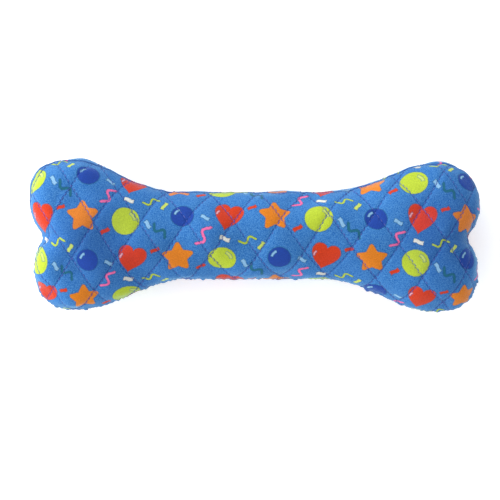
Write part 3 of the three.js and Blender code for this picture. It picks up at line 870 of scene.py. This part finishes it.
def quilt_marks_group():
    """Marks of the quilting, from the cloth's row numbers: painted shade in creases and at holes between the
    stitches.

    A place lies off a row by how far its number is from whole, times the rows' spacing. The difference of
    the two numbers counts the stitches. At each hole that they pull open, painted shade lies as a long spot,
    half way between two stitches and to one side of the row. Beside each hole a paler ridge is painted in as
    a highlight.
    """
    marks = {"Crease": "Float", "HoleShade": "Float", "RidgeHighlight": "Float"}
    tree, graph, given, result = new_group("quilt_marks", {"Rows": "Vector"}, marks)
    numbers = graph.parts(given["Rows"])
    apart = graph.math("SUBTRACT", numbers["Y"], numbers["X"])
    stitches = graph.math("MULTIPLY", apart, QUILT_RUN / STITCH_PITCH / 2)
    from_half = graph.math("ABSOLUTE", graph.math("SUBTRACT", graph.math("FRACT", stitches), 0.5))
    from_hole = graph.math("MULTIPLY", from_half, STITCH_PITCH)
    beside_hole = graph.ramp(from_hole, HOLE_LENGTH / 2, HOLE_LENGTH / 4)
    creases = []
    holes = []
    ridges = []
    for number, shade in ((numbers["X"], RISING_HOLE_SHADE), (numbers["Y"], FALLING_HOLE_SHADE)):
        off_whole = graph.math("SUBTRACT", number, graph.math("ROUND", number))
        off_row = graph.math("MULTIPLY", off_whole, QUILT_SPACING)
        aside = graph.math("ABSOLUTE", off_row)
        creases.append(graph.ramp(aside, CREASE_SHADE_WIDTH, 0))
        # Where the painted highlight lies, on a ridge beside the row
        off_ridge = graph.math("ABSOLUTE", graph.math("SUBTRACT", aside, RIDGE_OFFSET))
        ridges.append(graph.ramp(off_ridge, RIDGE_WIDTH / 2, 0))
        off_hole = graph.math("ADD", off_row, STITCH_OFFSET)
        widened = graph.math("MULTIPLY", off_hole, HOLE_LENGTH / HOLE_WIDTH)
        from_middle = polar(graph, widened, from_hole)[0]
        holes.append(graph.ramp(from_middle, HOLE_LENGTH / 2, HOLE_LENGTH / 4, 0, shade))
    graph.feed(result["Crease"], graph.math("MAXIMUM", *creases))
    graph.feed(result["HoleShade"], graph.math("MAXIMUM", *holes))
    graph.feed(result["RidgeHighlight"], graph.math("MULTIPLY", graph.math("MAXIMUM", *ridges), beside_hole))
    return tree


def object_point(graph):
    """The surface's place in the part's own frame, in metres, or for the surround the direction of view."""
    return graph.node("TexCoord").outputs["Object"]


SURFACE_GRAIN = grain_group()


def surface_grain(graph, scale, contrast):
    """The grain where it lies on the object, with a contrast for red, green and blue."""
    return graph.group(SURFACE_GRAIN, {"Point": object_point(graph), "Scale": scale, "Contrast": contrast})


def roughen(graph, shader, height, roughness, relief):
    """Lets a grain's height vary a shader's roughness between two values, and bump its normal.

    The relief is the bump's strength, and its depth in metres.
    """
    lumps = {"Height": height, "Strength": relief[0], "Distance": relief[1]}
    graph.feed(shader.inputs["Roughness"], graph.ramp(height, *GRAIN_RANGE, *roughness))
    graph.feed(shader.inputs["Normal"], graph.node("Bump", lumps).outputs["Normal"])


def end_shade_and_nap(graph):
    """How much darker the cloth is painted: painted shade in a round patch in each end, with the nap's slow
    unevenness all over.
    """
    place = object_point(graph)
    parts = graph.parts(place)
    along = graph.math("ABSOLUTE", graph.math("SUBTRACT", parts["X"], END_SHADE_SHIFT * MM))
    radius = polar(graph, graph.math("SUBTRACT", along, END_SHADE_CENTRE * MM), parts["Y"])[0]
    patch = graph.ramp(radius, END_SHADE_REACH[0] * MM, END_SHADE_REACH[1] * MM)
    uneven = graph.ramp(graph.noise(place, NAP_SCALE), *NAP_PATCH_RANGE, 0.0, NAP_PATCHES)
    return graph.math("MULTIPLY_ADD", patch, PAINTED_END_SHADE, uneven)


def printed_plush():
    """Short-pile plush: the print, mottled by the pile, with painted shade in creases, needle holes, along
    the seam and in each end, painted highlights beside the rows, and a sheen.
    """
    material, graph, shader = new_material("printed_plush")
    cloth = graph.node("UVMap", uv_map="cloth").outputs["UV"]
    rows = graph.node("UVMap", uv_map="quilting").outputs["UV"]
    seam = graph.node("Attribute", attribute_name="seam").outputs["Fac"]
    ink = graph.group(cloth_print_group(), {"Cloth": cloth})
    marks = graph.group(quilt_marks_group(), {"Rows": rows})
    grain = surface_grain(graph, PILE_SCALE, graph.mix(ink["Printed"], PILE_CONTRAST, INK_CONTRAST))
    mottled = graph.mix(1.0, ink["Colour"], grain["Shade"], "MULTIPLY")
    # Painted shade in the quilting's creases and at its needle holes
    creased = graph.math("MULTIPLY", marks["Crease"], CREASE_SHADE)
    # Painted shade along the seam
    seamed = graph.math("MULTIPLY", seam, SEAM_SHADE)
    depth = graph.math("MAXIMUM", marks["HoleShade"], graph.math("MAXIMUM", creased, seamed))
    bare = graph.ramp(ink["Printed"], 0, 1, 1, NAP_AND_PAINTED_LIGHT_ON_INK)
    # Painted shade in each end, with the nap's slow unevenness, darkens the bare cloth
    shaded_and_napped = graph.mix(graph.math("MULTIPLY", end_shade_and_nap(graph), bare), mottled, SHADOW_BLUE)
    # Painted highlight on the ridges beside the holes, less where inked
    ridge = graph.math("MULTIPLY", graph.math("MULTIPLY", marks["RidgeHighlight"], bare), RIDGE_HIGHLIGHT_SHARE)
    highlighted = graph.mix(ridge, shaded_and_napped, RIDGE_HIGHLIGHT_BLUE)
    # All painted shade, of holes, creases and seam, darkens the colour towards shadow blue
    graph.feed(shader.inputs["Base Color"], graph.mix(depth, highlighted, SHADOW_BLUE))
    roughen(graph, shader, grain["Height"], PILE_ROUGHNESS, PILE_RELIEF)
    shader.inputs["Sheen Weight"].default_value = PILE_SHEEN
    shader.inputs["Sheen Roughness"].default_value = PILE_SHEEN_ROUGHNESS
    shader.inputs["Sheen Tint"].default_value = SHEEN_BLUE
    shader.inputs["Specular IOR Level"].default_value = PILE_SPECULAR
    return material


def grained_finish(name, colour, scale, contrast, roughness, relief, sheen=0.0):
    """A plain finish with a grain in its shade, its roughness and its relief."""
    material, graph, shader = new_material(name)
    grain = surface_grain(graph, scale, 3 * (contrast,))
    graph.feed(shader.inputs["Base Color"], graph.mix(1.0, colour, grain["Shade"], "MULTIPLY"))
    roughen(graph, shader, grain["Height"], roughness, relief)
    shader.inputs["Sheen Weight"].default_value = sheen
    return material


def sewing_thread(name, colour):
    """Twisted thread: fine light and dark strands, with a slight sheen."""
    strands = {"scale": 2600.0, "contrast": 0.7, "relief": (0.4, 0.0002)}
    return grained_finish(name, colour, roughness=(0.5, 0.7), sheen=0.15, **strands)


def loose_fibre(name, colour, scale):
    """Matted white fibre: soft grey mottling between its strands."""
    strands = {"scale": scale, "contrast": 0.4, "relief": (0.8, 0.001)}
    return grained_finish(name, colour, roughness=(0.85, 1.0), sheen=0.3, **strands)


def moulded_plastic(name, colour, roughness, scale):
    """Moulded plastic: a faint cloudiness in its colour and a fine grain in its gloss."""
    cloud = {"scale": scale, "contrast": 0.12, "relief": (0.1, 0.0002)}
    return grained_finish(name, colour, roughness=roughness, **cloud)


def studio_floor():
    """A white light table, with the slightest unevenness in its white."""
    material, graph, shader = new_material("studio_floor")
    grain = surface_grain(graph, scale=60.0, contrast=3 * (0.02,))
    graph.feed(shader.inputs["Base Color"], graph.mix(1.0, FLOOR_WHITE, grain["Shade"], "MULTIPLY"))
    shader.inputs["Roughness"].default_value = FLOOR_ROUGHNESS
    shader.inputs["Specular IOR Level"].default_value = FLOOR_SPECULAR
    shader.inputs["Emission Color"].default_value = LIGHT_WHITE
    shader.inputs["Emission Strength"].default_value = FLOOR_GLOW
    return material


# Pieces
def cover(name, side, material):
    """A quilted panel as a closed layer: the outer surface, round its edge, and back along the inside."""
    rays = outline_rays(OUTLINE_COLUMNS)
    turn = panel_turns(rays, side, COVER_ROWS)
    place = cloth_place(rays, turn, side)
    outer = form_points(rays, turn, cover_height(rays, *place, side), side)
    inner_turn = panel_turns(rays, side, COVER_INNER_ROWS)
    inner_place = cloth_place(rays, inner_turn, side)
    inner = form_points(rays, inner_turn, -COVER_INSIDE, side)
    points = hand_sewn(there_and_back(outer, inner))
    piece = mesh_piece(name, points, grid_quads(*points.shape[:2], side=side), material)
    along, across, from_seam = map(there_and_back, place, inner_place)
    printed = (side * along + PRINT_SHIFT[side][0], across + PRINT_SHIFT[side][1])
    maps = {"cloth": printed, "quilting": quilt_rows(along, across, side)}
    # Nearness to the seam, which the plush darkens as painted shade
    dress_cloth(piece.data, maps, np.exp(-from_seam / SEAM_SHADE_WIDTH))
    weld(piece.data)
    return piece


def stitch_places(side, falling):
    """Places in the cloth of every stitch in one set of rows, and the rows' direction there.

    Rows are numbered; a stitch sits every stitch pitch along its row, which climbs half a diamond's
    height over half its length, up for a rising row and down for a falling one.
    """
    row = np.arange(-QUILT_ROWS, QUILT_ROWS + 1)[:, None]
    furthest = int(ROW_REACH * QUILT_RUN / STITCH_PITCH)
    climb = np.arange(-furthest, furthest + 1)[None, :] * STITCH_PITCH / QUILT_RUN
    lean = -1 if falling else 1
    crossing_a, crossing_b = QUILT_CROSSING[side]
    a = (crossing_a + QUILT_REPEAT[0] * (row + lean * climb)).ravel()
    b = (crossing_b + QUILT_REPEAT[1] * climb + 0 * row).ravel() + QUILT_RISE[side] * np.maximum(a, 0)
    kept = (np.abs(a) < TOY_LENGTH) & (np.abs(b) < TOY_LENGTH)
    heading = np.array((lean * QUILT_REPEAT[0], QUILT_REPEAT[1])) / QUILT_RUN
    return a[kept], b[kept], heading


def stitch_directions(a, b, heading, side):
    """Unit vectors at places in the cloth: along the row, out of the cloth, and across the row."""
    smooth = cloth_points(a, b, side, quilted=False)[0]
    onward = unit(cloth_points(a + heading[0], b + heading[1], side, quilted=False)[0] - smooth)
    sideways = cloth_points(a - heading[1], b + heading[0], side, quilted=False)[0] - smooth
    outward = unit(np.cross(onward, sideways) * side)
    return onward, outward, np.cross(outward, onward)


def quilting_stitches(name, side, falling, material):
    """One set of quilting stitches: short bent capsules that rise out of the cloth and dip back in.

    Each is a tube along its row, whose radius shrinks to the tips as a rounded end does, and whose
    middle follows a low arch over the crease. Lengths and places vary a little, and slow noise lets
    whole stretches of a row sink into the pile.
    """
    radius = FALLING_THREAD_RADIUS if falling else RISING_THREAD_RADIUS
    seed = FALLING_SEED if falling else RISING_SEED
    a, b, heading = stitch_places(side, falling)
    middle, left = cloth_points(a, b, side)
    inside = left > STITCH_MARGIN
    a, b, middle = a[inside], b[inside], middle[inside]
    draw = np.random.default_rng(seed + side)
    length = STITCH_LENGTH * draw.uniform(*STITCH_STRETCH, (len(a), 1, 1))
    offset = draw.normal(0, STITCH_WOBBLE, (len(a), 1, 1))
    sinking = SINK_MEAN + SINK_SWING * soft_noise(a, b, SINK_WAVE, SINK_SEED + side)
    sunk = radius * np.clip(sinking, 0, SINK_MOST)[:, None, None]
    share = np.array(STITCH_RINGS)
    girth = radius * np.sqrt(1 - share ** 4)
    arch = radius * (STITCH_RISE - STITCH_DIP * share ** 4)
    angle = round_angles(THREAD_SIDES)
    along = length / 2 * share + 0 * angle
    lift = arch + girth * np.sin(angle) - sunk
    width = girth * np.cos(angle) + offset - side * STITCH_OFFSET
    points = middle[:, None, None]
    for amount, direction in zip((along, lift, width), stitch_directions(a, b, heading, side)):
        points = points + amount[..., None] * direction[:, None, None]
    points[..., 2] = np.maximum(points[..., 2], 0)
    first = np.arange(len(points))[:, None, None] * along[0].size
    quads = grid_quads(*along.shape[1:]) + first
    return mesh_piece(name, points, quads.reshape(-1, 4), material, welded=True)


def wadding(name, side, material):
    """A layer of wadding: the form's surface at two depths, stopping short of the seam and closed there."""
    rays = outline_rays(WADDING_COLUMNS)
    turn = panel_turns(rays, side, WADDING_ROWS) * WADDING_REACH
    outer, inner = (form_points(rays, turn, -depth, side) for depth in WADDING_DEPTHS)
    points = hand_sewn(there_and_back(outer, inner))
    piece = mesh_piece(name, points, grid_quads(*points.shape[:2], side=side), material, welded=True)
    return piece


def seam_stretches():
    """Rays to the seam's two stretches: sewn by machine, and closed by hand on the shaft's lower edge."""
    outline = outline_rays(SEAM_COLUMNS)
    edge_x, edge_y = (np.roll(edge[:, 0], SEAM_COLUMNS // 2) for edge in (outline.edge_x, outline.edge_y))
    by_hand = (edge_y < 0) & (np.abs(edge_x) < CLOSING_LENGTH / 2)
    by_machine = (edge_y > 0) | (np.abs(edge_x) > CLOSING_LENGTH / 2 + FILLING_GAP)
    gap = np.argsort(edge_x[by_hand])
    return Rays(edge_x[by_machine], edge_y[by_machine]), Rays(edge_x[by_hand][gap], edge_y[by_hand][gap])


def seam_stitching(name, rays, material):
    """A sewn stretch of the seam: a thread that runs inside it and sways from stitch to stitch.

    A circle of the thread's radius is carried along the seam, and drawn to a point at both ends; its
    middle sways in and out as a cosine of the way along.
    """
    path = hand_sewn(form_points(rays, rays.rim(1), -SEAM_THREAD_DEPTH, 1))[:, 0]
    onward = unit(np.gradient(path, axis=0))
    outward = np.concatenate((rays.along, rays.across, 0 * rays.reach), axis=1)
    upward = np.cross(onward, outward)
    sway = SEAM_THREAD_SWAY * np.cos(2 * np.pi * walked(path[None])[0] / SEAM_STITCH)
    girth = np.full(len(path), SEAM_THREAD_RADIUS)
    girth[[0, -1]] = 0
    angle = round_angles(THREAD_SIDES)
    out = (sway + girth * np.cos(angle))[..., None]
    up = (girth * np.sin(angle))[..., None]
    points = path + out * outward + up * upward
    return mesh_piece(name, points, grid_quads(*up.shape[:2]), material, welded=True)


def lobe_filling(name, end, flank, material):
    """The fibre in one lobe: level loops that follow the form outside and two flat walls inside.

    Each loop keeps one turn of the section, from the front's middle to the back's. It runs round the
    lobe from the notch to the shaft's filling, back to the spine, along it and out to the notch.
    """
    fan_angle = np.linspace(0, np.pi / 2, LOBE_FAN_COLUMNS)[:-1]
    fan = rays_through(LOBE_X + np.cos(fan_angle), np.sin(fan_angle))
    side_x = np.linspace(LOBE_X, SHAFT_FILLING_LENGTH / 2 + FILLING_GAP, LOBE_SIDE_COLUMNS)
    rays = Rays(np.append(fan.edge_x, side_x), np.append(fan.edge_y, side_outline(side_x)[0]))
    turn = np.linspace(0, np.pi, LOBE_ROWS)[None, :] * np.ones_like(rays.reach)
    seed = TUFT_SEED + end + 2 * flank
    tufts = TUFT_SIZE * (1 - soft_noise(TUFT_TURN * turn, rays.edge_x + rays.edge_y, TUFT_WAVE, seed) / 2)
    outer = form_points(rays, turn, -FILLING_DEPTH - tufts * np.sin(turn), 1)
    spine = outer.copy()
    spine[..., 0] = rays.spine_x
    spine[..., 1] = 0
    wall = np.linspace(0, 1, LOBE_WALL_COLUMNS)[1:-1, None, None]
    shaft_wall = outer[-1] + (spine[-1] - outer[-1]) * wall
    spine_back = spine[:-len(side_x) - 1:-1]
    notch_wall = spine_back[-1] + (outer[0] - spine_back[-1]) * wall
    points = np.concatenate((outer, shaft_wall, spine_back, notch_wall))
    points[..., 1] = np.maximum(points[..., 1], FILLING_GAP)
    points = hand_sewn(points * (end, flank, 1))
    quads = grid_quads(*points.shape[:2], side=-end * flank)
    piece = mesh_piece(name, points, quads, material, welded=True)
    return piece


def shaft_filling(name, side, material):
    """Half of the fibre in the shaft, with a hollow for the squeaker.

    Sections across the shaft are carried along it: each follows the form from edge to edge and comes
    back along a level face, which a rounded hollow dents about the squeaker's axis. Flat ends close it.
    """
    x = np.linspace(-SHAFT_FILLING_LENGTH / 2, SHAFT_FILLING_LENGTH / 2, SHAFT_COLUMNS)
    turn = np.linspace(np.pi / 2, 0, SHAFT_ROWS)
    arcs = []
    for flank, turns in ((1, turn), (-1, turn[-2::-1])):
        rays = Rays(x, flank * side_outline(np.abs(x))[0])
        arcs.append(form_points(rays, turns * np.ones_like(rays.reach), -SHAFT_FILLING_DEPTH, side))
    arc = np.concatenate(arcs, axis=1)
    share = np.linspace(-1, 1, SHAFT_FACE_ROWS)[None, 1:-1]
    face = np.empty((len(x), share.shape[1], 3))
    face[..., 0] = x[:, None]
    face[..., 1] = share * arc[:, :1, 1]
    from_axis = np.hypot(face[..., 0], face[..., 1]) / HOLLOW_RADIUS
    hollow = HOLLOW_DEPTH[side] * np.sqrt(np.clip(1 - from_axis ** 4, 0, 1))
    face[..., 2] = MIDDLE_Z + side * hollow
    section = np.concatenate((arc, face), axis=1)
    section[..., 2] += side * FILLING_GAP
    points = np.concatenate((section[:1], section, section[-1:]))
    points[[0, -1]] = points[[0, -1]].mean(axis=1, keepdims=True)
    points = hand_sewn(points).transpose(1, 0, 2)
    piece = mesh_piece(name, points, grid_quads(*points.shape[:2], side=side), material, welded=True)
    return piece


def squeaker_bulb(name, material):
    """The soft bulb: a profile turned about the squeaker's axis, out over its wall and back inside it.

    The profile is a flat bottom, two rounded corners and a flat top with a neck, with a low ridge at
    the middle of its height where the mould parted.
    """
    low, high = (corner[2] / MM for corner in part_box("squeaker_bladder"))
    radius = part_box("squeaker_bladder")[1][0] / MM
    corner_angle = np.linspace(-np.pi / 2, 0, BULB_CORNER_ROWS)
    walls = []
    for wall in (0, BULB_WALL):
        corner = BULB_CORNER - wall
        across = radius - BULB_CORNER + corner * np.cos(corner_angle)
        drop = low + BULB_CORNER + corner * np.sin(corner_angle)
        level = np.linspace(drop[-1], low + high - drop[-1], BULB_WALL_ROWS)[1:-1]
        from_middle = (level - (low + high) / 2) / MOULD_RIDGE_WIDTH
        ridge = (0 if wall else MOULD_RIDGE) * np.exp(-from_middle ** 2)
        r = np.concatenate(([0], across, across[-1] + ridge, across[::-1], [BULB_NECK]))
        z = np.concatenate((drop[:1], drop, level, low + high - drop[::-1], low + high - drop[:1]))
        walls.append(np.stack((r, z)))
    r, z = there_and_back(*walls)
    angle = round_angles(BULB_SIDES)
    points = np.stack(np.broadcast_arrays(r * np.cos(angle), r * np.sin(angle), z), axis=-1)
    return mesh_piece(name, points, grid_quads(*points.shape[:2]), material, welded=True)


# Studio
def studio():
    """The camera, a white floor, and soft light all round, brighter at the horizon and at the upper left."""
    scene = bpy.context.scene
    scene.view_settings.view_transform = "Standard"
    pixel = TOY_LENGTH * MM / TOY_PIXELS
    seam_height = (MIDDLE_Z + SHAFT_THICKNESS / 2 * math.cos(SEAM_ANGLE)) * MM
    camera = bpy.data.cameras.new("camera")
    camera.sensor_width = SENSOR_WIDTH
    camera.lens = SENSOR_WIDTH * (CAMERA_HEIGHT - seam_height) / (PICTURE_PIXELS * pixel)
    eye = bpy.data.objects.new("camera", camera)
    across, down = (PICTURE_PIXELS / 2 - centre for centre in TOY_CENTRE_PIXEL)
    eye.location = (across * pixel, -down * pixel, CAMERA_HEIGHT)
    scene.collection.objects.link(eye)
    scene.camera = eye
    world = bpy.data.worlds.new("soft_surround")
    world.use_nodes = True
    graph = Graph(world.node_tree)
    direction = object_point(graph)
    strength = graph.ramp(graph.parts(direction)["Z"], 0, 1, *SURROUND_STRENGTHS)
    lean = graph.vector_math("DOT_PRODUCT", direction, SURROUND_LEAN)
    background = world.node_tree.nodes["Background"].inputs
    background["Color"].default_value = LIGHT_WHITE
    graph.feed(background["Strength"], graph.math("MULTIPLY_ADD", strength, lean, strength))
    scene.world = world
    for name, place, size, power in STUDIO_LAMPS:
        lamp = bpy.data.lights.new(name, "AREA")
        lamp.size = size
        lamp.energy = power
        holder = bpy.data.objects.new(name, lamp)
        holder.location = place
        holder.rotation_euler = (-Vector(place)).to_track_quat("-Z", "Y").to_euler()
        scene.collection.objects.link(holder)
    half = FLOOR_SIZE / 2
    corners = np.array([[(-half, -half, 0), (-half, half, 0)], [(half, -half, 0), (half, half, 0)]])
    mesh_piece("floor", corners / MM, grid_quads(2, 2, looped=False), studio_floor())


# Assembly
studio()

plush = printed_plush()
for panel, side in PANELS:
    finish_piece(cover(panel + "_cover_plush", side, plush), "printed_plush", panel + "_cover")

rising_thread = sewing_thread("rising_row_thread", NAVY_THREAD)
falling_thread = sewing_thread("falling_row_thread", VIOLET_THREAD)
for panel, side in PANELS:
    for rows, falling, thread in (("rising", False, rising_thread), ("falling", True, falling_thread)):
        finish_piece(quilting_stitches(f"{panel}_{rows}_stitches", side, falling, thread), "sewing_thread")

wadding_fibre = loose_fibre("wadding_fibre", WADDING_WHITE, scale=500.0)
for panel, side in PANELS:
    finish_piece(wadding(panel + "_wadding_layer", side, wadding_fibre), "wadding", panel + "_wadding")

by_machine, by_hand = seam_stretches()
machine_thread = seam_stitching("seam_stitching", by_machine, rising_thread)
finish_piece(machine_thread, "sewing_thread", "seam_thread")
hand_thread = seam_stitching("closing_stitching", by_hand, falling_thread)
finish_piece(hand_thread, "sewing_thread", "closing_thread")

fibre = loose_fibre("fibre_filling", FIBRE_WHITE, scale=260.0)
for end_name, end in (("left", -1), ("right", 1)):
    for flank_name, flank in (("upper", 1), ("lower", -1)):
        node = f"{end_name}_{flank_name}_lobe_filling"
        finish_piece(lobe_filling(node + "_fibre", end, flank, fibre), "fibre_filling", node)
for panel, side in PANELS:
    node = "shaft_filling_" + panel
    finish_piece(shaft_filling(node + "_fibre", side, fibre), "fibre_filling", node)

soft_vinyl = moulded_plastic("soft_vinyl", VINYL_CREAM, roughness=(0.4, 0.55), scale=400.0)
finish_piece(squeaker_bulb("squeaker_bulb", soft_vinyl), "soft_vinyl", "squeaker_bladder")
whistle_plastic = moulded_plastic("whistle_plastic", WHISTLE_WHITE, roughness=(0.28, 0.43), scale=600.0)
reed_film = moulded_plastic("reed_film", REED_AMBER, roughness=(0.15, 0.3), scale=900.0)
whistle_finishes = {
    "whistle_barrel": whistle_plastic,
    "whistle_plug": whistle_plastic,
    "reed_clamp": whistle_plastic,
    "reed": reed_film,
}
for node, material in whistle_finishes.items():
    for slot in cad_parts[node].material_slots:
        slot.material = material
